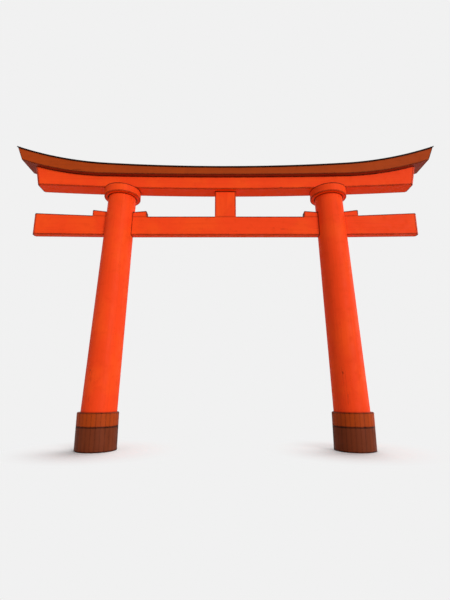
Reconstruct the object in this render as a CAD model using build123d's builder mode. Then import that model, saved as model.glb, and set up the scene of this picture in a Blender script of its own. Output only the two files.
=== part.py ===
"""Great torii gate of painted timber, in millimetres, +Z up.

Two round, tapered pillars lean in towards each other.  A tie beam runs through both of them and is
locked by four wedges; a curved lower lintel sits on the pillars' head rings, and a wider, more
strongly curved upper lintel with a gabled back lies on top of it under a thin rain cover.

The origin is on the ground, midway between the pillars.  X runs along the lintels and Y through the
gateway: the front is at -Y.  Left is -X.
"""
from math import asin, atan, cos, degrees, hypot, sin
import os

from build123d import *

# ---------------------------------------------------------------- driving dimensions
# pillars
pillar_spacing = 7270.0  # between the two axes at ground level
pillar_lean = 0.039  # each axis comes in this much for each unit of height
pillar_foot_radius = 511.0
pillar_taper = 0.0103  # the radius lost for each unit of height
head_tenon_width = 300.0  # square tenon on top of each pillar
head_tenon_height = 220.0

# base sleeves round the pillars' feet
sleeve_wall = 63.0  # measured at mid height, where the sleeve and the pillar share their middle
sleeve_height = 648.0  # dark lower part
band_height = 377.0  # lighter band above it
band_arris = 16.0  # chamfer round the top

# head rings under the lower lintel
ring_overhang = 136.0  # past the pillar, all round
ring_depth = 275.0
ring_arris = 14.0  # chamfer round the lower edge
bore_clearance = 0.5  # between a pillar and the sleeves and rings round it

# tie beam
passage_height = 6368.0  # from the ground to its underside
tie_depth = 226.0  # front to back
tie_height = 620.0  # between the pillars
tie_overhang = 2445.0  # from a pillar's axis at ground level to the end
tie_arm_rise = 0.044  # the top of each arm climbs this much per unit of length outside the pillar
tie_arm_lift = 0.012  # and the underside this much

# wedges on top of the tie beam
wedge_reach = 435.0  # the length that stands out of the pillar
wedge_drive = 290.0  # the length that is inside it
wedge_head = 192.0  # thickness at the outer end
wedge_taper = 0.08  # thickness lost for each unit of length
wedge_arris = 22.0  # chamfer on top of the head, which keeps it from splitting when it is driven

# centre strut
strut_width = 670.0
strut_height = 887.0  # from the tie beam to the lower lintel
strut_arris = 14.0
strut_tenon_width = 360.0
strut_tenon_depth = 90.0  # front to back
strut_tenon_height = 110.0

# The lintel lines are a long shallow arc between two breaks, and a tighter arc outside each break.
break_overhang = 165.0  # from a pillar's axis at ground level out to the break
soffit_rise = 66.0  # underside of the lower lintel, from the middle to a break
soffit_arm_radius = 108000.0
seat_rise = 42.0  # top of the lower lintel, which the upper lintel lies on
seat_arm_radius = 9050.0
eaves_rise = 122.0  # top arris of the upper lintel's faces
eaves_arm_radius = 10700.0

# lower lintel
lower_height = 427.0  # in the middle
lower_depth = 524.0
lower_overhang_bottom = 2386.0  # from a pillar's axis at ground level to the end, along the soffit
lower_overhang_top = 2524.0  # and along the seat
end_arris = 55.0  # chamfer on the upright arrises of its ends and of the tie beam's
beam_arris = 12.0  # chamfer on the long lower arrises of the tie beam and both lintels

# upper lintel
upper_height = 249.0  # of its faces, in the middle
upper_depth = 820.0
upper_overhang_bottom = 2897.0
upper_overhang_top = 3072.0  # at the eaves
roof_pitch = 0.30  # fall of the gabled back for each unit of depth

# rain cover
cover_thickness = 36.0
cover_overhang = 28.0  # past the faces of the upper lintel
cover_end_overhang = 14.0  # and past its ends
cap_half_width = 105.0
cap_thickness = 35.0

# ---------------------------------------------------------------- derived sizes
half_spacing = pillar_spacing / 2
line_break = half_spacing + break_overhang
tie_end = half_spacing + tie_overhang
lower_end_bottom = half_spacing + lower_overhang_bottom
lower_end_top = half_spacing + lower_overhang_top
upper_end_bottom = half_spacing + upper_overhang_bottom
upper_end_top = half_spacing + upper_overhang_top

tie_top = passage_height + tie_height
soffit_middle = tie_top + strut_height
seat_middle = soffit_middle + lower_height
eaves_middle = seat_middle + upper_height

roof_rise = roof_pitch * upper_depth / 2
line_reach = upper_end_top + 2 * roof_rise  # far enough for every line to be cut by an end
log_margin = 400.0  # spare length of a log before its ends are cut
longest_short_edge = upper_depth  # every edge that runs along a beam is longer, and none across it
fit = 0.01  # how near a point is to a line that it lies on


def axis_x(z):
    """Distance of a pillar's axis from the middle of the gate at height z."""
    return half_spacing - pillar_lean * z


def log_radius(z):
    """Radius of a pillar at height z."""
    return pillar_foot_radius - pillar_taper * z


class LintelLine:
    """A lintel line in the front elevation.

    A long shallow arc dips to the middle height between the breaks, and a tighter arc runs on from
    it, tangent, outside each break.
    """

    def __init__(self, middle, rise, arm_radius):
        self.middle = middle
        self.rise = rise
        self.arm_radius = arm_radius
        self.middle_radius = (line_break**2 + rise**2) / (2 * rise)
        self.break_angle = asin(line_break / self.middle_radius)
        self.arm_centre_x = line_break - arm_radius * sin(self.break_angle)
        self.arm_centre_z = middle + rise + arm_radius * cos(self.break_angle)

    def height(self, x):
        """Height of the line at a distance x from the middle."""
        x = abs(x)
        if x <= line_break:
            return self.middle + self.middle_radius - (self.middle_radius**2 - x**2) ** 0.5
        return self.arm_centre_z - (self.arm_radius**2 - (x - self.arm_centre_x) ** 2) ** 0.5

    def raised(self, lift):
        """The same line, moved straight up."""
        return LintelLine(self.middle + lift, self.rise, self.arm_radius)

    def draw(self, reach):
        """Draw the line in the open BuildLine, out to the reach on both sides."""
        break_height = self.middle + self.rise
        ThreePointArc((-line_break, break_height), (0, self.middle), (line_break, break_height))
        turn = degrees(asin((reach - self.arm_centre_x) / self.arm_radius) - self.break_angle)
        for side in (-1, 1):
            tangent = (side * cos(self.break_angle), sin(self.break_angle))
            JernArc((side * line_break, break_height), tangent, self.arm_radius, side * turn)


soffit = LintelLine(soffit_middle, soffit_rise, soffit_arm_radius)
seat = LintelLine(seat_middle, seat_rise, seat_arm_radius)
eaves = LintelLine(eaves_middle, eaves_rise, eaves_arm_radius)
ridge = eaves.raised(roof_rise)

ring_underside = soffit.height(axis_x(soffit_middle)) - ring_depth


def tie_top_at(x):
    """Height of the tie beam's top at a distance x from the middle."""
    return tie_top + tie_arm_rise * max(0.0, abs(x) - axis_x(tie_top))


def tie_bottom_at(x):
    """Height of the tie beam's underside at a distance x from the middle."""
    return passage_height + tie_arm_lift * max(0.0, abs(x) - axis_x(tie_top))


def wedge_stations(outward):
    """The x of a wedge's head, and of its tip inside the pillar, on the right-hand side.

    The face of the pillar is where its side meets the faces of the tie beam.
    """
    face = outward * (log_radius(tie_top) ** 2 - (tie_depth / 2) ** 2) ** 0.5
    head = axis_x(tie_top) + face + outward * wedge_reach
    tip = axis_x(tie_top) + face - outward * wedge_drive
    return head, tip


def wedge_top_at(x, outward):
    """Height of the top of a right-hand wedge at x."""
    head, _ = wedge_stations(outward)
    return tie_top_at(x) + wedge_head - wedge_taper * abs(head - x)


# ---------------------------------------------------------------- shapes that cut or trim others
os.makedirs("parts", exist_ok=True)
sides = {"left": -1, "right": 1}
on_end = (Align.CENTER, Align.CENTER, Align.MIN)  # a solid that stands on its location


def axis_plane(side, z):
    """Plane square to a pillar's axis, with its origin on the axis at height z."""
    return Plane(origin=(side * axis_x(z), 0, z), z_dir=(-side * pillar_lean, 0, 1))


def pillar_log(side):
    """The tapered log that a pillar is cut from, leaning in, too long at both ends."""
    length = (seat_middle + 2 * log_margin) * hypot(1, pillar_lean)
    with BuildPart(axis_plane(side, 0).offset(-log_margin)) as log:
        Cone(log_radius(-log_margin), log_radius(length - log_margin), length, align=on_end)
    return log.part


def bore(side, low, high):
    """A straight hole that clears a pillar from the low height to the high one, and runs past both."""
    with BuildPart(axis_plane(side, low).offset(-log_margin)) as hole:
        Cylinder(log_radius(low) + bore_clearance, high - low + 2 * log_margin, align=on_end)
    return hole.part


def under_line(line, depth):
    """Everything below a lintel line, from under the ground up, as deep as asked."""
    low = -log_margin
    end = line.height(line_reach)
    with BuildPart() as block:
        with BuildSketch(Plane.XZ):
            with BuildLine():
                line.draw(line_reach)
                Polyline((-line_reach, end), (-line_reach, low), (line_reach, low), (line_reach, end))
            make_face()
        extrude(amount=depth / 2, both=True)
    return block.part


def end_cut(end_bottom, bottom_line, end_top, top_line, side, outset):
    """Plane of a lintel's slanted end, facing outwards, moved out by the outset."""
    low = bottom_line.height(end_bottom)
    high = top_line.height(end_top)
    slant = atan((end_top - end_bottom) / (high - low))
    face = Plane(
        origin=(side * end_bottom, 0, low),
        x_dir=(0, 1, 0),
        z_dir=(side * cos(slant), 0, -sin(slant)),
    )
    return face.offset(outset)


def between_lines(bottom_line, bottom_reach, top_line, top_reach):
    """Sketch what lies between two lintel lines, closed by a straight slant at each end."""
    with BuildSketch(Plane.XZ) as profile:
        with BuildLine():
            bottom_line.draw(bottom_reach)
            top_line.draw(top_reach)
            for side in sides.values():
                Line(
                    (side * bottom_reach, bottom_line.height(bottom_reach)),
                    (side * top_reach, top_line.height(top_reach)),
                )
        make_face()
    return profile.sketch


def roof_slab(bottom_line, top_line, half_depth):
    """Front half of a slab between two lines that falls forward at the roof pitch."""
    profile = between_lines(bottom_line, line_reach, top_line, line_reach)
    with BuildPart() as slab:
        extrude(profile, amount=half_depth * hypot(1, roof_pitch), dir=(0, -1, -roof_pitch))
    return slab.part


below_soffit = under_line(soffit, 4 * pillar_foot_radius)


# ---------------------------------------------------------------- operations on the open part
def tenon(x, low, high, width, depth, mode):
    """An upright tenon in the open part, or its mortise when the mode is a cut."""
    with Locations((x, 0, low)):
        Box(width, depth, high - low, align=on_end, mode=mode)


def head_tenon(side, mode):
    """The square tenon on a pillar's head, sunk a little into the pillar so that they join."""
    x = axis_x(soffit_middle)
    shoulder = soffit.height(x)
    low = shoulder - head_tenon_height / 2
    tenon(side * x, low, shoulder + head_tenon_height, head_tenon_width, head_tenon_width, mode)


def strut_tenon(mode):
    """The tenon that runs through the centre strut, out of both of its ends."""
    low = tie_top - strut_tenon_height
    high = soffit_middle + strut_tenon_height
    tenon(0, low, high, strut_tenon_width, strut_tenon_depth, mode)


def chamfer_ends(beam):
    """Chamfer the upright arrises at both ends of the open beam."""
    ends = beam.faces().sort_by(Axis.X)
    for end in (ends[0], ends[-1]):
        chamfer(end.edges().filter_by(Axis.Y, reverse=True), end_arris)


def ease_lower_arrises(beam, underside_at):
    """Chamfer the long arrises of the open beam at its underside, whose height is given at each x."""

    def is_long_and_low(edge):
        middle = edge @ 0.5
        return edge.length > longest_short_edge and abs(middle.Z - underside_at(middle.X)) < fit

    chamfer(beam.edges().filter_by(is_long_and_low), beam_arris)


def cut_upper_end(side, outset):
    """Cut one end of the open part on the upper lintel's slant."""
    cut = end_cut(upper_end_bottom, seat, upper_end_top, eaves, side, outset)
    split(bisect_by=cut, keep=Keep.BOTTOM)


def save(piece, name):
    """Label a finished piece and write it to its own file."""
    piece.label = name
    export_step(piece, f"parts/{name}.step")


# ---------------------------------------------------------------- pieces at each pillar
for hand, side in sides.items():
    inner_head, inner_tip = wedge_stations(-1)
    outer_head, outer_tip = wedge_stations(1)

    # The pillar: its foot is cut level, its head is cut to the soffit round a square tenon, and the
    # ceiling of its mortise for the tie beam follows the tops of the two wedges.
    with BuildPart() as pillar:
        add(pillar_log(side))
        split(bisect_by=Plane.XY, keep=Keep.TOP)
        add(below_soffit, mode=Mode.INTERSECT)
        head_tenon(side, Mode.ADD)
        with BuildSketch(Plane.XZ):
            with BuildLine():
                Polyline(
                    (side * inner_head, tie_bottom_at(inner_head)),
                    (side * axis_x(tie_top), passage_height),
                    (side * outer_head, tie_bottom_at(outer_head)),
                    (side * outer_head, wedge_top_at(outer_head, 1)),
                    (side * outer_tip, wedge_top_at(outer_tip, 1)),
                    (side * inner_tip, wedge_top_at(inner_tip, -1)),
                    (side * inner_head, wedge_top_at(inner_head, -1)),
                    close=True,
                )
            make_face()
        extrude(amount=tie_depth / 2, both=True, mode=Mode.SUBTRACT)
    save(pillar.part, f"pillar_{hand}")

    # The base sleeve stands upright round the leaning foot, in two halves that meet at the sides,
    # and so does the band above it.
    sleeve_radius = pillar_foot_radius + sleeve_wall
    sleeve_middle = side * axis_x((sleeve_height + band_height) / 2)
    for name, low, height, arris in (
        ("sleeve", 0.0, sleeve_height, 0.0),
        ("band", sleeve_height, band_height, band_arris),
    ):
        with BuildPart() as shell:
            with Locations((sleeve_middle, 0, low)):
                Cylinder(sleeve_radius, height, align=on_end)
            if arris:
                chamfer(shell.faces().sort_by(Axis.Z)[-1].edges(), arris)
            add(bore(side, low, low + height), mode=Mode.SUBTRACT)
        for half, keep in (("front", Keep.TOP), ("back", Keep.BOTTOM)):
            with BuildPart() as half_shell:
                add(shell.part)
                split(bisect_by=Plane.XZ, keep=keep)
            save(half_shell.part, f"base_{name}_{hand}_{half}")

    # The head ring is a drum that the head of the pillar passes through, cut to the soffit on top.
    with BuildPart() as ring:
        with Locations((side * axis_x(ring_underside + ring_depth / 2), 0, ring_underside)):
            Cylinder(log_radius(ring_underside) + ring_overhang, 2 * ring_depth, align=on_end)
        chamfer(ring.faces().sort_by(Axis.Z)[0].edges(), ring_arris)
        add(bore(side, ring_underside, soffit_middle), mode=Mode.SUBTRACT)
        add(below_soffit, mode=Mode.INTERSECT)
    save(ring.part, f"head_ring_{hand}")

    # The wedges lie on the tie beam, thick outside the pillar and thinner inside it.
    for place, outward in (("inner", -1), ("outer", 1)):
        wedge_ends = wedge_stations(outward)
        with BuildPart() as wedge:
            with BuildSketch(Plane.XZ):
                with BuildLine():
                    Polyline(
                        *[(side * x, tie_top_at(x)) for x in wedge_ends],
                        *[(side * x, wedge_top_at(x, outward)) for x in reversed(wedge_ends)],
                        close=True,
                    )
                make_face()
            extrude(amount=tie_depth / 2, both=True)
            head_end = wedge.faces().sort_by(Axis.X)[-1 if side * outward > 0 else 0]
            chamfer(head_end.edges().sort_by(Axis.Z)[-1], wedge_arris)
        save(wedge.part, f"wedge_{hand}_{place}")

# ---------------------------------------------------------------- pieces that span the gate
# The tie beam is level between the pillars, and its arms grow a little taller towards their ends.
tie_stations = (-tie_end, -axis_x(tie_top), axis_x(tie_top), tie_end)
with BuildPart() as tie_beam:
    with BuildSketch(Plane.XZ):
        with BuildLine():
            Polyline(
                *[(x, tie_bottom_at(x)) for x in tie_stations],
                *[(x, tie_top_at(x)) for x in reversed(tie_stations)],
                close=True,
            )
        make_face()
    extrude(amount=tie_depth / 2, both=True)
    chamfer_ends(tie_beam)
    ease_lower_arrises(tie_beam, tie_bottom_at)
    strut_tenon(Mode.SUBTRACT)
save(tie_beam.part, "tie_beam")

# The centre strut is a board on edge, flush with the tie beam, its head cut to the soffit.
with BuildPart() as strut:
    with Locations((0, 0, tie_top)):
        Box(strut_width, tie_depth, soffit.height(strut_width) - tie_top, align=on_end)
    chamfer(strut.edges().filter_by(Axis.Z), strut_arris)
    add(below_soffit, mode=Mode.INTERSECT)
    strut_tenon(Mode.ADD)
save(strut.part, "centre_strut")

# The lower lintel, between the soffit and the seat, with the mortises for what stands under it.
with BuildPart() as lower_lintel:
    extrude(between_lines(soffit, lower_end_bottom, seat, lower_end_top), amount=lower_depth / 2, both=True)
    chamfer_ends(lower_lintel)
    ease_lower_arrises(lower_lintel, soffit.height)
    for side in sides.values():
        head_tenon(side, Mode.SUBTRACT)
    strut_tenon(Mode.SUBTRACT)
save(lower_lintel.part, "lower_lintel")

# The upper lintel: straight faces from the seat to the eaves, and a gabled back above them.
with BuildPart() as upper_lintel:
    add(roof_slab(seat.raised(-roof_rise), ridge, upper_depth))
    profile = between_lines(seat, line_reach, ridge, line_reach)
    extrude(profile, amount=upper_depth / 2, dir=(0, -1, 0), mode=Mode.INTERSECT)
    for side in sides.values():
        cut_upper_end(side, 0.0)
    mirror(about=Plane.XZ)
    ease_lower_arrises(upper_lintel, seat.height)
save(upper_lintel.part, "upper_lintel")

# The rain cover: slabs on both slopes of the gabled back and a cap where they meet.  They are laid in
# lengths that meet in the middle and at the breaks.
cover_line = ridge.raised(cover_thickness)
front_slope = roof_slab(ridge, cover_line, upper_depth / 2 + cover_overhang)
front_cap = roof_slab(cover_line, cover_line.raised(cap_thickness), cap_half_width)
for hand, side in sides.items():
    outwards = Plane.YZ if side > 0 else -Plane.YZ
    for place, near, far in (("middle", 0.0, line_break), ("end", line_break, None)):
        for name, slab in (("rain_cover", front_slope), ("ridge_cap", front_cap)):
            with BuildPart() as length:
                add(slab)
                split(bisect_by=outwards.offset(near), keep=Keep.TOP)
                if far:
                    split(bisect_by=outwards.offset(far), keep=Keep.BOTTOM)
                else:
                    cut_upper_end(side, cover_end_overhang)
                if name == "ridge_cap":
                    mirror(about=Plane.XZ)
            if name == "ridge_cap":
                save(length.part, f"ridge_cap_{hand}_{place}")
            else:
                save(length.part, f"rain_cover_front_{hand}_{place}")
                save(mirror(length.part, about=Plane.XZ), f"rain_cover_back_{hand}_{place}")
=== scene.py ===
"""Looks of a great timber torii gate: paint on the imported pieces, the fine work on top, light and camera.

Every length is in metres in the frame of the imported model: +Z up, X along the lintels, the front at -Y.
"""
from __future__ import annotations

import logging
import math
from collections.abc import Iterable, Mapping
from dataclasses import dataclass, field, replace
from enum import Enum

import bpy
import numpy as np
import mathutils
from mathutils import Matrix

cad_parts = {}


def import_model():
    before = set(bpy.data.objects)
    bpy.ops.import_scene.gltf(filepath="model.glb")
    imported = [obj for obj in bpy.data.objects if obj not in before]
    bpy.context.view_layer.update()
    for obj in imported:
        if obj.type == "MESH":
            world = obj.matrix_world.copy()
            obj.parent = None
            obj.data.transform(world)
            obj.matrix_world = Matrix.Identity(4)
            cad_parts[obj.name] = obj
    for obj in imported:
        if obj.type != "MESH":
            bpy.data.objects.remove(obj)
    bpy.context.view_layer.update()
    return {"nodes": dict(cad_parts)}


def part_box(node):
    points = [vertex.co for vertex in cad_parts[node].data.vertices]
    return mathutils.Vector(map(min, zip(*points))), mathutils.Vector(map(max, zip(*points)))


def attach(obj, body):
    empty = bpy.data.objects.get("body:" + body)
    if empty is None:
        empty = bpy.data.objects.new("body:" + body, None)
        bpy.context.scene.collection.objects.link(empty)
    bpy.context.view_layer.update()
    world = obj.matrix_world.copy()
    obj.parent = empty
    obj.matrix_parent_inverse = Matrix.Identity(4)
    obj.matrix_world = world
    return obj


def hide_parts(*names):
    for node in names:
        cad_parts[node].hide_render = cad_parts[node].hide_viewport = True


log = logging.getLogger("torii")

Colour = tuple[float, float, float, float]
Vector = tuple[float, float, float]
Nodes = Mapping[str, bpy.types.Object]
Tree = bpy.types.NodeTree
Socket = bpy.types.NodeSocket
Surface = tuple[np.ndarray, np.ndarray]  # vertices, and triangles that run anticlockwise seen from outside

BODY = "root"
FIT = 1e-5  # how near a point is to a face that it lies on
SHARP = 40.0  # degrees; a new mesh is smooth over edges that turn less
MOSTLY = 0.8  # of a unit normal: more than this along an axis, and it runs along that axis
NOISE_MIDDLE = 0.5  # the value that a Noise node varies round

# Sockets of a Mix node in its colour mode, which repeats their names.
MIX_FACTOR, MIX_A, MIX_B, MIX_RESULT = 0, 6, 7, 2

# Settings that several nodes share.
COLOURS = {"data_type": "RGBA"}
SMOOTHLY = {"interpolation_type": "SMOOTHSTEP"}
BY_ANGLES = {"rotation_type": "EULER_XYZ"}


class Hand(Enum):
    """An end of the gate, as seen from the front."""

    LEFT = "left"
    RIGHT = "right"


class Facing(Enum):
    """The front or the back of the gate."""

    FRONT = "front"
    BACK = "back"

    @property
    def side(self) -> int:
        """Which way it looks along Y: -1 or 1."""
        return -1 if self is Facing.FRONT else 1


# ---------------------------------------------------------------- colours and shader nodes
def linear(hex_colour: str) -> Colour:
    """Turn an sRGB hex colour into linear RGBA.

    Args:
        hex_colour: six hex digits after a hash sign.

    Returns:
        Red, green, blue and an alpha of 1, each from 0 to 1.
    """
    channels = [int(hex_colour[i : i + 2], 16) / 255 for i in (1, 3, 5)]
    red, green, blue = (
        c / 12.92 if c <= 0.04045 else ((c + 0.055) / 1.055) ** 2.4 for c in channels
    )
    return red, green, blue, 1.0


def add_node(
    tree: Tree,
    kind: str,
    settings: Mapping[str, object] | None = None,
    inputs: Mapping[int | str, object] | None = None,
) -> bpy.types.Node:
    """Add a shader node, set it up and join its inputs.

    Args:
        tree: the node tree that gets the node.
        kind: the node's type, without the leading "ShaderNode".
        settings: its own options, by name.
        inputs: its input sockets, by name or index; a socket is linked, anything else is set.

    Returns:
        The new node.
    """
    node = tree.nodes.new(f"ShaderNode{kind}")
    for name, value in (settings or {}).items():
        setattr(node, name, value)
    for key, value in (inputs or {}).items():
        if isinstance(value, Socket):
            tree.links.new(value, node.inputs[key])
        else:
            node.inputs[key].default_value = value
    return node


def new_tree(block: bpy.types.Material | bpy.types.World) -> Tree:
    """Give a material or a world an empty node tree.

    Args:
        block: the material or world.

    Returns:
        Its node tree.
    """
    block.use_nodes = True
    block.node_tree.nodes.clear()
    return block.node_tree


@dataclass(frozen=True)
class Response:
    """How strongly something tells as a pattern changes: smoothly from least at low to most at high."""

    low: float
    high: float  # may be the lower of the two
    least: float = 0.0
    most: float = 1.0

    def to(self, pattern: Socket, most: Socket | float | None = None) -> dict[str, object]:
        """The inputs of a Map Range node that carries a pattern through this response.

        Args:
            pattern: what it answers to.
            most: stands in for its own; where least is 0, another pattern here is a factor.

        Returns:
            The node's inputs by name.
        """
        return {
            "Value": pattern, "From Min": self.low, "From Max": self.high,
            "To Min": self.least, "To Max": self.most if most is None else most,
        }


@dataclass(frozen=True)
class Mottle:
    """Soft noise, mostly from 0.3 to 0.7, with features of a length along X and a width across it."""

    width: float
    length: float
    detail: float = 4.0
    roughness: float = 0.55

    def over(self, tree: Tree, place: Socket) -> Socket:
        """Lay it over a surface.

        Args:
            tree: the material's nodes.
            place: the point on the surface.

        Returns:
            Its value there.
        """
        scaled = add_node(
            tree, "VectorMath", {"operation": "MULTIPLY"},
            {0: place, 1: (1 / self.length, 1 / self.width, 1 / self.width)},
        ).outputs["Vector"]
        return add_node(
            tree, "TexNoise", None,
            {"Vector": scaled, "Scale": 1.0, "Detail": self.detail, "Roughness": self.roughness},
        ).outputs["Fac"]


# ---------------------------------------------------------------- finishes
class Run(Enum):
    """Which way a timber lies, as the turn that brings its fibres on to X."""

    ALONG_THE_GATE = (0.0, 0.0, 0.0)
    THROUGH_THE_GATE = (0.0, 0.0, math.pi / 2)
    UPRIGHT = (0.0, math.pi / 2, 0.0)


@dataclass(frozen=True)
class Timber:
    """How one timber was cut, and where the paint runs over its joints and keeps its arrises from wear."""

    turn: Vector  # brings its fibres on to X
    heart: Vector  # a point on the heart of the log
    covered: tuple[tuple[float, float], ...] = ()  # stretches of X where another timber lies flush on top
    seated: bool = False  # whether it sits flush on another timber itself
    struck: bool = False  # whether its ends have lost their paint to the mallet


@dataclass(frozen=True)
class PaintedTimber:
    """Oil paint brushed on planed softwood.

    To the eye it is an opaque, nearly matt skin, a little uneven in tone from one day's brushwork to
    the next, that keeps a faint relief of the growth rings and the brush. It opens in fine checks
    along the grain, gathers dirt where pieces meet, which is darkened there also as painted shade, and
    has worn to dark old wood along the arrises. Faces that look down take a colour of their own as painted
    shade.
    """

    name: str
    paint: str  # as it is on an open face
    faded: str  # where the sun has drawn it
    weathered: str  # where it has dulled and run thin
    # Painted shade: the colour that faces looking down take, standing in for their shade.
    underside_shade: str  # on faces that look down
    # Dirt together with painted shade, darkening the corners where pieces meet.
    dirt_and_shade: str  # in the corners where pieces meet
    bare: str  # the old wood in the checks and along the arrises
    roughness: Response = Response(0.3, 0.7, 0.45, 0.61)
    gloss: float = 0.06  # the shader's specular level: a binder-poor paint mirrors less than plain oil
    ior: float = 1.48  # of linseed oil

    patches: Mottle = Mottle(0.9, 0.9, 3.0)  # one day's brushwork
    blotches: Mottle = Mottle(0.18, 0.18)
    streaks: Mottle = Mottle(0.045, 1.9)  # real ones are 5 to 15 mm wide; drawn coarser so that they show
    brush: Mottle = Mottle(0.012, 1.9 / 3)  # real bristle marks are 1 to 3 mm wide; drawn coarser too
    fading: Response = Response(0.42, 0.66, 0.0, 0.8)
    blotching: Response = Response(0.5, 0.75, 0.0, 0.4)
    streaking: Response = Response(0.45, 0.75, 0.0, 0.45)

    ring_spacing: float = 0.028  # real rings are 3 to 6 mm apart; drawn coarser so that they show
    ring_run: float = 0.12  # how fast the rings change along the log, against across it
    ring_waver: float = 5.0
    ring_waver_detail: float = 2.0
    ring_waver_scale: float = 0.08
    ringing: Response = Response(0.6, 1.0, 0.0, 0.16)
    end_grain: Response = Response(0.75, 0.9)  # by how squarely a face cuts the fibres
    end_rings: Response = Response(0.2, 0.9, 0.25, 1.0)
    struck_ends: Response = Response(0.75, 0.9, 0.0, 0.85)  # the same, where a mallet has hit them

    check_lines: Mottle = Mottle(0.075, 2.4, 1.0)  # along which the surface can open
    check_fields: Mottle = Mottle(0.45, 1.2, 1.0)  # in which it does
    check_gape: Response = Response(0.6, 0.75, 0.0, 0.007)  # how far from their middle value lines are open
    check_tone: float = 0.7

    # Painted shade on faces that look down, by the height of a face's normal.
    shade_looking_down: Response = Response(-0.6, -0.8)  # by the height of a face's normal
    # Dirt and painted shade in closed-in corners, from ambient occlusion.
    dirt_and_shade_reach: float = 0.06
    dirt_and_shade_closing: Response = Response(0.85, 0.35)  # by how much of the sky a corner sees
    dirt_and_shade_evenness: Response = Response(0.25, 0.7, 0.665, 0.95)

    arris_wear: float = 0.07  # the radius that a worn arris is judged by; it darkens about half of that
    arris_turn: Response = Response(0.995, 0.96)  # by how far a rounded normal turns away
    arris_evenness: Response = Response(0.3, 0.6, 0.75, 1.0)
    bridged_wear: Response = Response(0.0, 1.0, 1.0, 0.3)  # less of it on an arris that the paint bridges
    upper_arris: Response = Response(0.03, 0.08)  # by the height of the rounded normal
    lower_arris: Response = Response(-0.03, -0.08)

    staves: int = 0  # boards that make up a drum; none in a solid timber
    stave_tones: Response = Response(0.0, 1.0, 0.0, 0.35)

    arris_radius: float = 0.006
    ring_relief: float = 0.0012
    streak_relief: float = 0.005
    brush_relief: float = 0.0015
    check_relief: float = -0.004
    relief_strength: float = 0.7
    rays: int = 6  # for each rounded normal in the relief
    wear_rays: int = 8  # for each look round an arris or a corner

    def material(self, timber: Timber) -> bpy.types.Material:
        """Make the finish for one timber.

        Args:
            timber: the timber under the paint.

        Returns:
            A material that reads object coordinates only.
        """
        made = bpy.data.materials.new(self.name)
        tree = new_tree(made)
        place = add_node(tree, "TexCoord").outputs["Object"]
        from_heart = add_node(
            tree, "VectorMath", {"operation": "SUBTRACT"}, {0: place, 1: timber.heart}
        ).outputs["Vector"]
        along = add_node(
            tree, "VectorRotate", BY_ANGLES, {"Vector": from_heart, "Rotation": timber.turn}
        ).outputs["Vector"]

        patches, blotches = (mottle.over(tree, place) for mottle in (self.patches, self.blotches))
        streaks, brush = (mottle.over(tree, along) for mottle in (self.streaks, self.brush))
        rings = self._rings(tree, along)
        checks = self._checks(tree, along)
        end_rings = add_node(tree, "MapRange", SMOOTHLY, self.end_rings.to(rings)).outputs["Result"]
        cut_across = self._cut_across(tree, timber)
        lean = add_node(tree, "NewGeometry").outputs["True Normal"]
        height = add_node(tree, "SeparateXYZ", None, {0: lean}).outputs["Z"]
        weathering_and_shade = [
            (self.fading.to(patches), self.faded),
            (self.streaking.to(streaks), self.weathered),
            (self.blotching.to(blotches), self.weathered),
            (self.ringing.to(rings), self.weathered),
            (self.end_grain.to(cut_across, most=end_rings), self.weathered),
        ]
        if timber.struck:
            weathering_and_shade.append((self.struck_ends.to(cut_across), self.bare))
        # Painted shade: faces that look down take the underside colour.
        weathering_and_shade.append((self.shade_looking_down.to(height), self.underside_shade))
        if self.staves:
            weathering_and_shade.append((self.stave_tones.to(self._staves(tree, along)), self.weathered))
        coats = [
            (add_node(tree, "MapRange", SMOOTHLY, response).outputs["Result"], tone)
            for response, tone in weathering_and_shade
        ]
        # Then dirt with painted shade in the corners, the checks and the worn arrises.
        coats += [
            (self._dirt_and_shade(tree, blotches), self.dirt_and_shade),
            (checks, self.bare),
            (self._wear(tree, place, blotches, timber), self.bare),
        ]
        colour: Colour | Socket = linear(self.paint)
        for shown, tone in coats:
            colour = add_node(
                tree, "Mix", COLOURS, {MIX_FACTOR: shown, MIX_A: colour, MIX_B: linear(tone)}
            ).outputs[MIX_RESULT]

        relief = {
            rings: self.ring_relief, streaks: self.streak_relief,
            brush: self.brush_relief, checks: self.check_relief,
        }
        roughness = add_node(tree, "MapRange", SMOOTHLY, self.roughness.to(blotches)).outputs["Result"]
        surface = add_node(
            tree, "BsdfPrincipled", None,
            {
                "Base Color": colour,
                "Roughness": roughness,
                "Normal": self._relief(tree, relief),
                "IOR": self.ior,
                "Specular IOR Level": self.gloss,
            },
        )
        add_node(tree, "OutputMaterial", None, {"Surface": surface.outputs["BSDF"]})
        return made

    def _rings(self, tree: Tree, along: Socket) -> Socket:
        """Growth rings round the log's heart, which a Wave node repeats every 2 pi / 20 units.

        Args:
            tree: the material's nodes.
            along: the point, from the heart, with the fibres along X.

        Returns:
            A wave from 0 to 1.
        """
        drawn_out = add_node(
            tree, "VectorMath", {"operation": "MULTIPLY"}, {0: along, 1: (self.ring_run, 1.0, 1.0)}
        ).outputs["Vector"]
        return add_node(
            tree, "TexWave", {"wave_type": "RINGS", "rings_direction": "X"},
            {
                "Vector": drawn_out,
                "Scale": math.tau / 20 / self.ring_spacing,
                "Distortion": self.ring_waver,
                "Detail": self.ring_waver_detail,
                "Detail Scale": self.ring_waver_scale,
            },
        ).outputs["Fac"]

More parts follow.
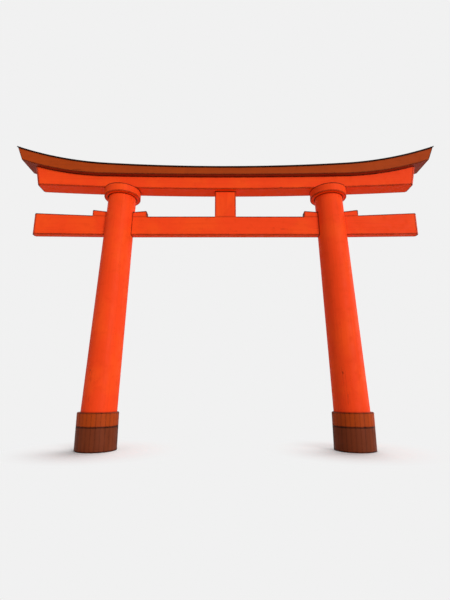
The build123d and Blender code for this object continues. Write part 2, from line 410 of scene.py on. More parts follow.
    def _checks(self, tree: Tree, along: Socket) -> Socket:
        """Fine cracks along the grain.

        They lie where streaked noise crosses its middle, and open only where a second, broader noise is high.

        Args:
            tree: the material's nodes.
            along: the point, from the heart, with the fibres along X.

        Returns:
            Their tone where one is open, and 0 elsewhere.
        """
        lines = self.check_lines.over(tree, along)
        fields = self.check_fields.over(tree, along)
        off = add_node(tree, "Math", {"operation": "SUBTRACT"}, {0: lines, 1: NOISE_MIDDLE}).outputs["Value"]
        distance = add_node(tree, "Math", {"operation": "ABSOLUTE"}, {0: off}).outputs["Value"]
        gape = add_node(tree, "MapRange", SMOOTHLY, self.check_gape.to(fields)).outputs["Result"]
        opened = add_node(tree, "Math", {"operation": "LESS_THAN"}, {0: distance, 1: gape}).outputs["Value"]
        return add_node(
            tree, "Math", {"operation": "MULTIPLY"}, {0: opened, 1: self.check_tone}
        ).outputs["Value"]

    def _cut_across(self, tree: Tree, timber: Timber) -> Socket:
        """How squarely a face cuts across the fibres, where the paint sinks in.

        Args:
            tree: the material's nodes.
            timber: the timber under the paint.

        Returns:
            0 along the fibres to 1 square across them.
        """
        normal = add_node(tree, "NewGeometry").outputs["True Normal"]
        turned = add_node(
            tree, "VectorRotate", BY_ANGLES, {"Vector": normal, "Rotation": timber.turn}
        ).outputs["Vector"]
        across = add_node(tree, "SeparateXYZ", None, {0: turned}).outputs["X"]
        return add_node(tree, "Math", {"operation": "ABSOLUTE"}, {0: across}).outputs["Value"]

    def _dirt_and_shade(self, tree: Tree, blotches: Socket) -> Socket:
        """Dirt and painted shade in closed-in places, unevenly: darker where less of the sky is seen.

        Args:
            tree: the material's nodes.
            blotches: what makes it uneven.

        Returns:
            How much of it there is, from 0 to 1.
        """
        open_sky = add_node(
            tree, "AmbientOcclusion", {"samples": self.wear_rays}, {"Distance": self.dirt_and_shade_reach}
        ).outputs["AO"]
        most = add_node(tree, "MapRange", SMOOTHLY, self.dirt_and_shade_evenness.to(blotches)).outputs["Result"]
        return add_node(
            tree, "MapRange", SMOOTHLY, self.dirt_and_shade_closing.to(open_sky, most=most)
        ).outputs["Result"]

    def _wear(self, tree: Tree, place: Socket, blotches: Socket, timber: Timber) -> Socket:
        """Wear along the arrises: most where a rounded normal turns away from the face's own.

        Args:
            tree: the material's nodes.
            place: the point on the piece.
            blotches: what makes it uneven.
            timber: the timber under the paint.

        Returns:
            How far the paint has gone, from 0 to 1.
        """
        rounded = add_node(
            tree, "Bevel", {"samples": self.wear_rays}, {"Radius": self.arris_wear}
        ).outputs["Normal"]
        flat = add_node(tree, "NewGeometry").outputs["Normal"]
        same = add_node(
            tree, "VectorMath", {"operation": "DOT_PRODUCT"}, {0: rounded, 1: flat}
        ).outputs["Value"]
        kept, uneven = (
            add_node(tree, "MapRange", SMOOTHLY, inputs).outputs["Result"]
            for inputs in (
                self.bridged_wear.to(self._bridged(tree, place, rounded, timber)),
                self.arris_evenness.to(blotches),
            )
        )
        most = add_node(tree, "Math", {"operation": "MULTIPLY"}, {0: kept, 1: uneven}).outputs["Value"]
        return add_node(tree, "MapRange", SMOOTHLY, self.arris_turn.to(same, most=most)).outputs["Result"]

    def _bridged(self, tree: Tree, place: Socket, rounded: Socket, timber: Timber) -> Socket:
        """Where the paint runs over a joint: under a timber that lies flush on top, or round a seat.

        Args:
            tree: the material's nodes.
            place: the point on the piece.
            rounded: the rounded normal, which leans up on an upper arris and down on a lower one.
            timber: the timber under the paint.

        Returns:
            1 on such an arris and 0 on the others.
        """
        lean = add_node(tree, "SeparateXYZ", None, {0: rounded}).outputs["Z"]
        x = add_node(tree, "SeparateXYZ", None, {0: place}).outputs["X"]
        upper, bridged = (
            add_node(tree, "MapRange", SMOOTHLY, inputs).outputs["Result"]
            for inputs in (self.upper_arris.to(lean), self.lower_arris.to(lean, most=float(timber.seated)))
        )
        for low, high in timber.covered:
            within = add_node(
                tree, "Math", {"operation": "COMPARE"}, {0: x, 1: (low + high) / 2, 2: (high - low) / 2}
            ).outputs["Value"]
            under = add_node(tree, "Math", {"operation": "MULTIPLY"}, {0: upper, 1: within}).outputs["Value"]
            bridged = add_node(
                tree, "Math", {"operation": "MAXIMUM"}, {0: bridged, 1: under}
            ).outputs["Value"]
        return bridged

    def _staves(self, tree: Tree, along: Socket) -> Socket:
        """A tone for each stave, by its number: the angle round the heart, in whole staves.

        Args:
            tree: the material's nodes.
            along: the point, from the heart, with the fibres along X.

        Returns:
            The stave's tone, from 0 to 1.
        """
        parts = add_node(tree, "SeparateXYZ", None, {0: along}).outputs
        angle = add_node(
            tree, "Math", {"operation": "ARCTAN2"}, {0: parts["Z"], 1: parts["Y"]}
        ).outputs["Value"]
        count = add_node(
            tree, "Math", {"operation": "MULTIPLY"}, {0: angle, 1: self.staves / math.tau}
        ).outputs["Value"]
        number = add_node(tree, "Math", {"operation": "FLOOR"}, {0: count}).outputs["Value"]
        return add_node(
            tree, "TexWhiteNoise", {"noise_dimensions": "1D"}, {"W": number}
        ).outputs["Value"]

    def _relief(self, tree: Tree, depths: Mapping[Socket, float]) -> Socket:
        """The paint's relief, laid on rounded arrises.

        Args:
            tree: the material's nodes.
            depths: how far each pattern stands out, or in where it is negative.

        Returns:
            The surface's normal.
        """
        normal = add_node(
            tree, "Bevel", {"samples": self.rays}, {"Radius": self.arris_radius}
        ).outputs["Normal"]
        for pattern, depth in depths.items():
            normal = add_node(
                tree, "Bump", {"invert": depth < 0},
                {
                    "Strength": self.relief_strength, "Distance": abs(depth),
                    "Height": pattern, "Normal": normal,
                },
            ).outputs["Normal"]
        return normal


# In every finish, the underside colour is painted shade for faces that look down, and the dirt colour darkens
# the corners as dirt and painted shade together.
# Red lead in linseed oil: an opaque orange-red that the sun draws towards orange and rain dulls to brick.
VERMILION = PaintedTimber(
    name="vermilion_paint_on_planed_cypress",
    paint="#F04418", faded="#F44E18", weathered="#DE3E12", underside_shade="#FF4604",
    dirt_and_shade="#6A1F0A", bare="#451406",
)
# Iron oxide in the same oil: an earthen red-brown that hardly fades.
IRON_RED = PaintedTimber(
    name="iron_oxide_paint_on_planed_cypress",
    paint="#A03C0F", faded="#A8400F", weathered="#8C340E", underside_shade="#8E3016",
    dirt_and_shade="#3C140B", bare="#2E0F08",
    arris_wear=0.05,
)
# The same on upright staves, no two of quite the same tone.
BAND_RED = replace(
    IRON_RED, name="iron_oxide_paint_on_cedar_staves",
    paint="#A84010", faded="#AE4410", weathered="#983A10",
    staves=28,
)
# Iron oxide darkened with lamp black, on staves: a dull brown that splashed earth doesn't spoil.
DARK_BROWN = PaintedTimber(
    name="dark_brown_paint_on_cedar_staves",
    paint="#72321A", faded="#76361C", weathered="#662D16", underside_shade="#5A2C1C",
    dirt_and_shade="#28100A", bare="#250E08",
    staves=28,
)
# Pine tar soaked into sawn boards: nearly black, rougher than paint and a little shinier.
DARK_COVER = PaintedTimber(
    name="tarred_cedar_boards",
    paint="#33160D", faded="#3C1C12", weathered="#28110A", underside_shade="#26100A",
    dirt_and_shade="#120604", bare="#1B0B06",
    roughness=Response(0.3, 0.7, 0.63, 0.79), gloss=0.12,
)


# ---------------------------------------------------------------- meshes
def make_piece(name: str, surface: Surface) -> bpy.types.Object:
    """Put a computed surface into a new object at the origin.

    Args:
        name: the piece's name.
        surface: its vertices and triangles.

    Returns:
        The object, smooth except at its arrises.
    """
    vertices, triangles = surface
    mesh = bpy.data.meshes.new(name)
    mesh.from_pydata(vertices.tolist(), [], triangles.tolist())
    mesh.polygons.foreach_set("use_smooth", np.ones(len(triangles), dtype=bool))
    mesh.set_sharp_from_angle(angle=math.radians(SHARP))
    mesh.validate()
    piece = bpy.data.objects.new(name, mesh)
    bpy.context.scene.collection.objects.link(piece)
    return piece


def skin(sections: np.ndarray) -> Surface:
    """Skin a row of closed sections, and close both ends round their middles.

    Args:
        sections: an array of sections by points by 3; seen along the row, each runs clockwise.

    Returns:
        A closed surface.
    """
    rows, points, _ = sections.shape
    here = np.arange(rows * points).reshape(rows, points)
    after = np.roll(here, -1, axis=1)
    a, b, c, d = here[:-1], after[:-1], after[1:], here[1:]
    sides = np.stack([a, b, c, a, c, d], axis=-1).reshape(-1, 3)
    first, last = rows * points, rows * points + 1
    start = np.stack([np.full(points, first), after[0], here[0]], axis=-1)
    end = np.stack([np.full(points, last), here[-1], after[-1]], axis=-1)
    middles = sections[[0, -1]].mean(axis=1)
    vertices = np.concatenate([sections.reshape(-1, 3), middles])
    return vertices, np.concatenate([sides, start, end])


def join(parts: Iterable[Surface]) -> Surface:
    """Join several surfaces into one, renumbering their triangles.

    Args:
        parts: the surfaces.

    Returns:
        All of them as one surface.
    """
    vertices, triangles, count = [], [], 0
    for points, faces in parts:
        vertices.append(points)
        triangles.append(faces + count)
        count += len(points)
    return np.concatenate(vertices), np.concatenate(triangles)


def repeat(shape: Surface, places: np.ndarray, outwards: np.ndarray) -> Surface:
    """Set copies of a small shape on a surface.

    Each copy's own Z is turned on to the surface's normal: its X is the part of the world's X, or
    of Z where the normal runs along X, that is square to the normal.

    Args:
        shape: what is copied, standing on the origin.
        places: where the copies stand, one to a row.
        outwards: the surface's unit normal at each place.

    Returns:
        All the copies as one surface.
    """
    points, faces = shape
    runs_along_x = np.abs(outwards[:, :1]) > MOSTLY
    seeds = np.where(runs_along_x, [[0.0, 0.0, 1.0]], [[1.0, 0.0, 0.0]])
    across = np.cross(outwards, seeds)
    across /= np.linalg.norm(across, axis=1, keepdims=True)
    turns = np.stack([np.cross(across, outwards), across, outwards], axis=-1)
    vertices = np.einsum("kij,nj->kni", turns, points) + places[:, None, :]
    offsets = np.arange(len(places))[:, None, None] * len(points)
    return vertices.reshape(-1, 3), (faces[None] + offsets).reshape(-1, 3)


@dataclass(frozen=True)
class Nail:
    """A forged nail, of which only the domed head shows."""

    radius: float  # of the head's rim
    height: float  # of the dome
    sides: int = 12
    rows: int = 4
    crown: float = 0.92  # how far up the dome's quarter circle its crown is closed
    sunk: float = 1 / 6  # of the height

    def head(self) -> Surface:
        """The dome: the radius times the cosine, and the height times the sine, of an angle.

        Returns:
            A closed surface that stands on the origin.
        """
        rise = np.linspace(0, np.pi / 2 * self.crown, self.rows)
        turn = -np.linspace(0, math.tau, self.sides, endpoint=False)
        reach = self.radius * np.cos(rise)[:, None]
        level = self.height * (np.sin(rise)[:, None] - self.sunk)
        rings = np.stack(
            [reach * np.cos(turn), reach * np.sin(turn), np.broadcast_to(level, (self.rows, self.sides))],
            axis=-1,
        )
        return skin(rings[:, ::-1])


# ---------------------------------------------------------------- pieces
def corners(node: str) -> tuple[np.ndarray, np.ndarray]:
    """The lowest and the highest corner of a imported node."""
    low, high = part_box(node)
    return np.array(low), np.array(high)


def middle(node: str) -> np.ndarray:
    """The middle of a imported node's box."""
    return np.mean(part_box(node), axis=0)


def vertices_of(piece: bpy.types.Object) -> np.ndarray:
    """Read a mesh's vertices.

    Args:
        piece: the piece that has the mesh.

    Returns:
        Their places, one to a row.
    """
    flat = np.empty(len(piece.data.vertices) * 3)
    piece.data.vertices.foreach_get("co", flat)
    return flat.reshape(-1, 3)


def dress(piece: bpy.types.Object, material: bpy.types.Material) -> None:
    """Put a material on every slot of a piece.

    Args:
        piece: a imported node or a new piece.
        material: its finish.
    """
    if not piece.material_slots:
        piece.data.materials.append(material)
    for slot in piece.material_slots:
        slot.material = material
    log.info("%s: %d triangles in %s", piece.name, len(piece.data.polygons), material.name)


def fasten(piece: bpy.types.Object, material: bpy.types.Material) -> None:
    """Dress a new piece, and fasten it to the gate.

    Args:
        piece: the new piece.
        material: its finish.
    """
    dress(piece, material)
    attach(piece, BODY)


@dataclass
class Pillars:
    """Both leaning pillars, with the rings at their heads."""

    nodes: Nodes

    def timber(self, hand: Hand) -> Timber:
        """A pillar's log, whose heart runs from the middle of its foot to the middle of its head ring.

        Args:
            hand: the pillar's end of the gate.

        Returns:
            How the log was cut.
        """
        foot = middle(f"base_sleeve_{hand.value}_front")
        head = middle(f"head_ring_{hand.value}")
        lean = math.atan2(head[0] - foot[0], head[2] - foot[2])
        return Timber(turn=(0.0, math.pi / 2 - lean, 0.0), heart=(foot[0], 0.0, foot[2]))

    def dress(self) -> None:
        """Paint the pillars up the log, and the rings up it too."""
        for hand in Hand:
            material = VERMILION.material(self.timber(hand))
            for name in ("pillar", "head_ring"):
                dress(self.nodes[f"{name}_{hand.value}"], material)


@dataclass
class Bases:
    """The coopered sleeves round the pillars' feet and the bands above them, nailed beside their joints."""

    nodes: Nodes
    bore_wall: float = 0.03  # less than the wall of a half shell, and more than its eased arrises
    groove_width: float = 0.003  # between two staves whose arrises are eased
    groove_depth: float = 0.0016
    end_ease: float = 0.004  # the same at the staves' ends
    unevenness: float = 0.001  # how far one stave may lie behind another
    setback_turn: float = 2.4  # radians of a sine from one stave's setback to the next
    points_across: int = 6  # of each stave
    nail: Nail = Nail(0.011, 0.007)
    nail_spacing: float = 0.14
    nail_inset: float = 0.045  # from the joint, and from the ends

    def build(self) -> None:
        """Stave the sleeves in dark brown and the bands in iron red, and nail both beside the joints."""
        for name, finish, slot in (("sleeve", DARK_BROWN, "dark_base"), ("band", BAND_RED, "iron_red")):
            for hand in Hand:
                drum = f"base_{name}_{hand.value}"
                heart = (middle(f"{drum}_front")[0], 0.0, middle(f"{drum}_front")[2])
                material = finish.material(Timber(Run.UPRIGHT.value, heart))
                for facing in Facing:
                    node = f"{drum}_{facing.value}"
                    piece = make_piece(f"{node}_staves", self._half_drum(node, facing, finish.staves))
                    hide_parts(node)
                    fasten(piece, material)
                nails = repeat(self.nail.head(), *self._nail_places(f"{drum}_front"))
                fasten(make_piece(f"{drum}_nails", nails), material)

    def _half_drum(self, node: str, facing: Facing, staves: int) -> Surface:
        """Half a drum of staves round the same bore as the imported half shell.

        At an angle round the drum, the wall reaches from the bore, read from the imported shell, to
        the drum's radius less a groove, whose depth falls evenly to nothing from a joint to half the
        groove's width, and less each stave's own setback, which is a sine of its number.

        Args:
            node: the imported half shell.
            facing: which half it is.
            staves: the number round the whole drum.

        Returns:
            A closed surface.
        """
        low, high = corners(node)
        radius = (high[0] - low[0]) / 2
        axis = (low[0] + high[0]) / 2
        packed = vertices_of(self.nodes[node]) - [axis, 0.0, 0.0]
        spans = np.hypot(packed[:, 0], packed[:, 1])
        turns = np.arctan2(np.abs(packed[:, 1]), packed[:, 0])
        on_top = packed[:, 2] > high[2] - FIT
        top_ease = max(radius - spans[on_top].max(), self.end_ease)

        pitch = math.tau / staves
        edge = self.groove_width / 2 / radius
        within = np.concatenate([[0.0], np.linspace(edge, pitch - edge, self.points_across)])
        numbers = np.repeat(np.arange(staves // 2), len(within))
        angles = np.append(numbers * pitch + np.tile(within, staves // 2), np.pi)
        from_joint = np.abs((angles + pitch / 2) % pitch - pitch / 2) * radius
        groove = self.groove_depth * np.clip(1 - from_joint / (self.groove_width / 2), 0, 1)
        phase = self.setback_turn * np.append(numbers, numbers[-1])
        outer = radius - groove - self.unevenness * (0.5 + 0.5 * np.sin(phase))
        bores = []
        for at_end in (packed[:, 2] < low[2] + FIT, on_top):
            ring = np.flatnonzero(at_end & (spans < radius - self.bore_wall))
            ring = ring[np.argsort(turns[ring])]
            bores.append(np.interp(angles, turns[ring], spans[ring]))

        reach = np.stack(
            [bores[0], outer - self.end_ease, outer, outer, outer - top_ease, bores[1]], axis=-1
        )
        heights = np.array(
            [low[2], low[2], low[2] + self.end_ease, high[2] - top_ease, high[2], high[2]]
        )
        sections = np.stack(
            [
                axis + reach * np.cos(angles)[:, None],
                facing.side * reach * np.sin(angles)[:, None],
                np.broadcast_to(heights, reach.shape),
            ],
            axis=-1,
        )
        return skin(sections[:: -facing.side])

    def _nail_places(self, node: str) -> tuple[np.ndarray, np.ndarray]:
        """Places on a drum either side of its joints, which lie where it crosses the plane of the gate.

        A point at an angle a round the drum is its middle plus the radius times (cos a, sin a).

        Args:
            node: a packed half shell of the drum.

        Returns:
            The places and the drum's unit normals there.
        """
        low, high = corners(node)
        radius = (high[0] - low[0]) / 2
        off = self.nail_inset / radius
        angles = np.array([-off, off, np.pi - off, np.pi + off])
        count = round((high[2] - low[2] - 2 * self.nail_inset) / self.nail_spacing) + 1
        heights = np.linspace(low[2] + self.nail_inset, high[2] - self.nail_inset, count)
        turn, height = (grid.ravel() for grid in np.meshgrid(angles, heights))
        level = np.zeros_like(turn)
        outwards = np.stack([np.cos(turn), np.sin(turn), level], axis=-1)
        on_axis = np.stack([level + (low[0] + high[0]) / 2, level, height], axis=-1)
        return on_axis + radius * outwards, outwards


@dataclass
class TieBeam:
    """The tie beam with its wedges and the centre strut."""

    nodes: Nodes
    wedge_places: tuple[str, ...] = ("inner", "outer")
    heart_behind: float = 0.21  # of the beam's log, from the plane of the gate
    heart_below: float = 0.4  # of the beam's log, from its middle
    strut_heart: tuple[float, float] = (0.12, 0.3)  # where the heart of the strut's own log stands

    def dress(self) -> None:
        """Paint them all vermilion; only the strut's grain stands upright."""
        wedges = [f"wedge_{hand.value}_{place}" for hand in Hand for place in self.wedge_places]
        boxes = [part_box(name) for name in (*wedges, "centre_strut")]
        covered = tuple((low[0], high[0]) for low, high in boxes)
        height = middle("tie_beam")[2]
        run, heart = Run.ALONG_THE_GATE.value, (0.0, self.heart_behind, height - self.heart_below)
        dress(self.nodes["tie_beam"], VERMILION.material(Timber(run, heart, covered=covered)))
        wedge_paint = VERMILION.material(Timber(run, heart, seated=True, struck=True))
        for name in wedges:
            dress(self.nodes[name], wedge_paint)
        strut = Timber(Run.UPRIGHT.value, (*self.strut_heart, height), seated=True)
        dress(self.nodes["centre_strut"], VERMILION.material(strut))


@dataclass
class Lintels:
    """The lower and the upper lintel."""

    nodes: Nodes
    heart_behind: float = 0.15  # of each log, from the plane of the gate
    heart_below: float = 0.2  # of each log, from its underside

    def dress(self) -> None:
        """Paint the lower lintel vermilion and the upper one iron red, each with painted shade on its
        underside.
        """
        for name, finish in (("lower_lintel", VERMILION), ("upper_lintel", IRON_RED)):
            low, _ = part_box(name)
            heart = (0.0, self.heart_behind, low[2] - self.heart_below)
            dress(self.nodes[name], finish.material(Timber(Run.ALONG_THE_GATE.value, heart)))


@dataclass
class RainCover:
    """The rain cover on the gabled back, with battens over the joints of its boards."""

    nodes: Nodes
    heart_below: float = 0.5  # of the boards' log, from the lowest point of the ridge
    batten_spacing: float = 0.95
    batten_width: float = 0.07
    batten_height: float = 0.022
    batten_lap: float = 0.01  # under the cap
    batten_foot: float = 0.03  # from the eaves to a batten's lower end
    batten_taper: float = 0.1  # of its length, at the eaves
    batten_least: float = 0.05  # of the taper, where it ends
    batten_sunk: float = 0.004
    batten_rows: int = 12
    batten_points: int = 9
    end_inset: float = 0.12
    nail: Nail = Nail(0.012, 0.007)
    nail_spacing: float = 0.19
    nail_inset: float = 0.06  # from the cap, and from a batten's foot
    cap_nail_spacing: float = 0.475
    cap_nail_inset: float = 0.03  # from the cap's edge
    cap_end_inset: float = 0.15
    lengths: tuple[str, ...] = field(init=False)
    eaves_y: float = field(init=False)
    cap_half_width: float = field(init=False)
    ridge_x: np.ndarray = field(init=False)
    ridge_z: np.ndarray = field(init=False)
    pitch: float = field(init=False)

    def __post_init__(self) -> None:
        """Read the cover's ridge line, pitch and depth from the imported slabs."""
        self.lengths = tuple(f"{hand.value}_{place}" for hand in Hand for place in ("middle", "end"))
        slabs = np.concatenate([vertices_of(self.nodes[f"rain_cover_front_{name}"]) for name in self.lengths])
        self.eaves_y = slabs[:, 1].min()
        self.cap_half_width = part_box("ridge_cap_left_middle")[1][1]
        self.ridge_x, self.ridge_z = self._top_line(slabs, 0.0)
        eaves_x, eaves_z = self._top_line(slabs, self.eaves_y)
        fall = np.interp(0.0, self.ridge_x, self.ridge_z) - np.interp(0.0, eaves_x, eaves_z)
        self.pitch = fall / -self.eaves_y

    @staticmethod
    def _top_line(points: np.ndarray, y: float) -> tuple[np.ndarray, np.ndarray]:
        """The highest points of a slab at one depth.

        Args:
            points: its vertices.
            y: the depth.

        Returns:
            Stations along X and their heights.
        """
        decimals = 4
        line = points[np.abs(points[:, 1] - y) < 10.0**-decimals]
        stations, order = np.unique(np.round(line[:, 0], decimals), return_inverse=True)
        heights = np.full(len(stations), -np.inf)
        np.maximum.at(heights, order.ravel(), line[:, 2])
        return stations, heights

    def height(self, x: np.ndarray, y: np.ndarray) -> np.ndarray:
        """Height of the cover: the ridge line at x, less the pitch times the distance from the ridge."""
        return np.interp(x, self.ridge_x, self.ridge_z) - self.pitch * np.abs(y)

    def normal(self, x: np.ndarray, y: np.ndarray) -> np.ndarray:
        """Unit normal of the cover, from its slopes along X and Y.

        Args:
            x: places along the gate.
            y: places through it.

        Returns:
            A normal to a row.
        """
        step = 0.05
        along = (self.height(x + step, y) - self.height(x - step, y)) / (2 * step)
        normal = np.stack([-along, self.pitch * np.sign(y), np.ones_like(x)], axis=-1)
        return normal / np.linalg.norm(normal, axis=1, keepdims=True)

    def stations(self, name: str) -> np.ndarray:
        """Where the battens of one length stand: over its joints, and evenly between them.

        Args:
            name: the length, whose joint with the one nearer the middle has that one's batten.

        Returns:
            Places along X.
        """
        low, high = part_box(f"rain_cover_front_{name}")
        inner, outer = sorted((low[0], high[0]), key=abs)
        if name.endswith("end"):
            outer -= math.copysign(self.end_inset, outer)
        count = round(abs(outer - inner) / self.batten_spacing)
        first = 0 if name == "right_middle" else 1
        return np.linspace(inner, outer, count + 1)[first:]

    def batten(self, x: float, facing: Facing) -> Surface:
        """One batten down a slope.

        Across its width its top is the height times (1 - |s|^4), for s from -1 to 1, times the
        square root of a taper that falls evenly over the last of its length at the eaves.

        Args:
            x: where it stands.
            facing: the slope that it lies on.

        Returns:
            A closed surface.
        """
        along = np.linspace(0, 1, self.batten_rows)
        across = np.linspace(-1, 1, self.batten_points)
        top_y = self.cap_half_width - self.batten_lap
        y = facing.side * (top_y + along * (-self.eaves_y - self.batten_foot - top_y))
        taper = np.clip((1 - along) / self.batten_taper, self.batten_least, 1)
        rise = self.batten_height * np.sqrt(taper)[:, None] * (1 - np.abs(across) ** 4)
        xs = np.broadcast_to(x + across * self.batten_width / 2, rise.shape)
        ys = np.broadcast_to(y[:, None], rise.shape)
        slope = self.height(xs, ys)
        top = np.stack([xs, ys, slope + rise - self.batten_sunk], axis=-1)
        bottom = np.stack([xs, ys, slope - 2 * self.batten_sunk], axis=-1)[:, ::-1]
        sections = np.concatenate([top, bottom], axis=1)
        return skin(sections[:, :: facing.side])

    def build(self) -> None:
        """Lay the battens on both slopes, and nail them and the cap."""
        material = DARK_COVER.material(Timber(Run.THROUGH_THE_GATE.value, (0.0, 0.0, 0.0)))
        stations = np.concatenate([self.stations(name) for name in self.lengths])
        for facing in Facing:
            slope = f"rain_cover_{facing.value}"
            battens = join(self.batten(x, facing) for x in stations)
            fasten(make_piece(f"{slope}_battens", battens), material)
            places = self._nail_places(stations, facing)
            nails = repeat(self.nail.head(), places, self.normal(places[:, 0], places[:, 1]))
            fasten(make_piece(f"{slope}_nails", nails), material)

    def _nail_places(self, stations: np.ndarray, facing: Facing) -> np.ndarray:
        """Where the nails stand down each batten of a slope, and along the edge of the cap.

        Args:
            stations: where the battens stand.
            facing: the slope.

        Returns:
            Points on the tops of the battens and the cap, one to a row.
        """
        inner = self.cap_half_width + self.nail_inset
        outer = -self.eaves_y - self.batten_foot - self.nail_inset
        rows = np.linspace(inner, outer, round((outer - inner) / self.nail_spacing) + 1)
        x, y = (grid.ravel() for grid in np.meshgrid(stations, facing.side * rows))
        reach = self.ridge_x.max() - self.cap_end_inset
        cap_x = np.arange(-reach, reach, self.cap_nail_spacing)
        cap_y = np.full_like(cap_x, facing.side * (self.cap_half_width - self.cap_nail_inset))
        lifts = [
            np.full_like(x, self.batten_height - self.batten_sunk),
            np.full_like(cap_x, self._cap_lift()),
        ]
        x, y = np.append(x, cap_x), np.append(y, cap_y)
        return np.stack([x, y, self.height(x, y) + np.concatenate(lifts)], axis=-1)

    def _cap_lift(self) -> float:
        """Height of the cap's top above the cover it lies on."""
        _, heights = self._top_line(vertices_of(self.nodes["ridge_cap_right_middle"]), 0.0)
        return float(heights.min() - self.ridge_z.min())

    def dress(self) -> None:
        """Tar the boards, whose grain runs along the ridge."""
        heart = (0.0, 0.0, float(self.ridge_z.min()) - self.heart_below)
        material = DARK_COVER.material(Timber(Run.ALONG_THE_GATE.value, heart))
        for name in self.lengths:
            for part in ("rain_cover_front", "rain_cover_back", "ridge_cap"):
                dress(self.nodes[f"{part}_{name}"], material)


# ---------------------------------------------------------------- studio
@dataclass(frozen=True)
class Lamp:
    """A distant soft lamp, placed in degrees to the right of the front and above level."""

    name: str
    strength: float
    spread: float  # degrees
    azimuth: float
    elevation: float

    def hang(self) -> None:
        """Add it to the scene."""
        data = bpy.data.lights.new(self.name, "SUN")
        data.energy = self.strength
        data.angle = math.radians(self.spread)
        lamp = bpy.data.objects.new(self.name, data)
        lamp.rotation_euler = (math.radians(90 - self.elevation), 0.0, math.radians(self.azimuth))
        bpy.context.scene.collection.objects.link(lamp)
        log.info("%s light: %.2f", self.name, self.strength)


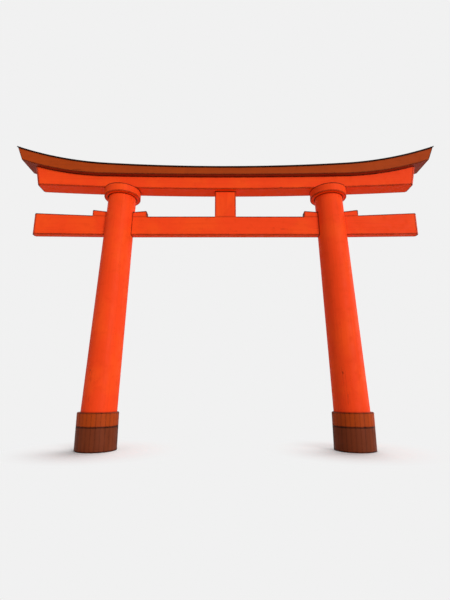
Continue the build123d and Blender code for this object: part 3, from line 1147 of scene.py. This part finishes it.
@dataclass
class Studio:
    """A pale floor that fades into a pale surround, soft light, and the camera at eye height."""

    surround: str = "#F1F1F1"
    floor_seen: str = "#FFFFFF"  # in this light it shows as the surround does
    floor_bounce: str = "#CCCCCC"
    floor_radius: float = 60.0
    floor_level: float = -0.001
    floor_fade: tuple[float, float] = (0.8, 2.5)  # the floor's own look ends between these, from a foot
    sky_light: float = 0.44
    lamps: tuple[Lamp, ...] = (
        Lamp("key", strength=2.0, spread=24.0, azimuth=36.0, elevation=8.0),
        Lamp("rim", strength=1.2, spread=50.0, azimuth=150.0, elevation=58.0),
        Lamp("edge", strength=0.5, spread=16.0, azimuth=106.0, elevation=11.0),
    )
    eye: Vector = (-0.012, -11.292, 1.636)
    look_up: float = 13.24  # degrees
    lens: float = 22.88  # millimetres
    sight: float = 240.0  # how far the camera sees

    def camera(self) -> None:
        """Set the camera in front of the gate, looking up at it."""
        data = bpy.data.cameras.new("eye")
        data.lens = self.lens
        data.clip_end = self.sight
        eye = bpy.data.objects.new("eye", data)
        eye.location = self.eye
        eye.rotation_euler = (math.radians(90 + self.look_up), 0.0, 0.0)
        bpy.context.scene.collection.objects.link(eye)
        bpy.context.scene.camera = eye

    def world(self) -> None:
        """Even light from all round; seen directly or mirrored it is the pale surround."""
        world = bpy.data.worlds.new("surround")
        tree = new_tree(world)
        lit = add_node(tree, "Background", None, {"Color": (1.0, 1.0, 1.0, 1.0), "Strength": self.sky_light})
        seen = add_node(tree, "Background", None, {"Color": linear(self.surround), "Strength": 1.0})
        both = add_node(
            tree, "MixShader", None,
            {0: self._seen_directly(tree), 1: lit.outputs[0], 2: seen.outputs[0]},
        )
        add_node(tree, "OutputWorld", None, {"Surface": both.outputs[0]})
        bpy.context.scene.world = world

    @staticmethod
    def _seen_directly(tree: Tree) -> Socket:
        """Tell what is seen from what gives light.

        Args:
            tree: the nodes of the surround or the floor.

        Returns:
            1 for rays from the camera, a mirror or a glass, and 0 for light that lands on the gate.
        """
        path = add_node(tree, "LightPath").outputs
        seen = path["Is Camera Ray"]
        for other in ("Is Glossy Ray", "Is Transmission Ray"):
            seen = add_node(tree, "Math", {"operation": "MAXIMUM"}, {0: seen, 1: path[other]}).outputs[0]
        return seen

    def _away(self, tree: Tree, feet: Iterable[float]) -> Socket:
        """How far the floor has faded, by the distance to the nearer foot.

        Args:
            tree: the floor's nodes.
            feet: where the middles of the two feet stand along X.

        Returns:
            0 beside a foot and 1 well away from both.
        """
        place = add_node(tree, "TexCoord").outputs["Object"]
        reaches = [
            add_node(
                tree, "VectorMath", {"operation": "DISTANCE"}, {0: place, 1: (x, 0.0, 0.0)}
            ).outputs["Value"]
            for x in feet
        ]
        nearer = add_node(tree, "Math", {"operation": "MINIMUM"}, dict(enumerate(reaches))).outputs[0]
        return add_node(
            tree, "MapRange", SMOOTHLY, Response(*self.floor_fade).to(nearer)
        ).outputs["Result"]

    def floor(self, feet: Iterable[float]) -> None:
        """A level floor that keeps the shadows round the feet, and fades into the surround.

        Args:
            feet: where the middles of the two feet stand along X.
        """
        square = np.array([[-1, -1, 0], [1, -1, 0], [1, 1, 0], [-1, 1, 0]]) * self.floor_radius
        square[:, 2] = self.floor_level
        floor = make_piece("floor", (square, np.array([[0, 1, 2], [0, 2, 3]])))
        material = bpy.data.materials.new("pale_matt_floor")
        tree = new_tree(material)
        seen = self._seen_directly(tree)
        shade = add_node(
            tree, "Mix", COLOURS,
            {MIX_FACTOR: seen, MIX_A: linear(self.floor_bounce), MIX_B: linear(self.floor_seen)},
        ).outputs[MIX_RESULT]
        hidden = add_node(
            tree, "Math", {"operation": "MULTIPLY"}, {0: self._away(tree, feet), 1: seen}
        ).outputs[0]
        matt = add_node(tree, "BsdfDiffuse", None, {"Color": shade})
        plain = add_node(tree, "Emission", None, {"Color": linear(self.surround), "Strength": 1.0})
        both = add_node(tree, "MixShader", None, {0: hidden, 1: matt.outputs[0], 2: plain.outputs[0]})
        add_node(tree, "OutputMaterial", None, {"Surface": both.outputs[0]})
        dress(floor, material)

    def build(self) -> None:
        """Set up the camera, the lamps, the surround and the floor."""
        bpy.context.scene.view_settings.view_transform = "Standard"
        self.camera()
        for lamp in self.lamps:
            lamp.hang()
        self.world()
        self.floor(float(middle(f"base_sleeve_{hand.value}_front")[0]) for hand in Hand)


def main() -> None:
    """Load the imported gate, dress it, add the fine work and set up the studio."""
    logging.basicConfig(level=logging.INFO, format="%(name)s: %(message)s")
    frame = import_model()
    nodes = frame["nodes"]
    cover = RainCover(nodes)
    for assembly in (Pillars(nodes), TieBeam(nodes), Lintels(nodes), cover):
        assembly.dress()
    for assembly in (Bases(nodes), cover):
        assembly.build()
    Studio().build()


if __name__ == "__main__":
    main()
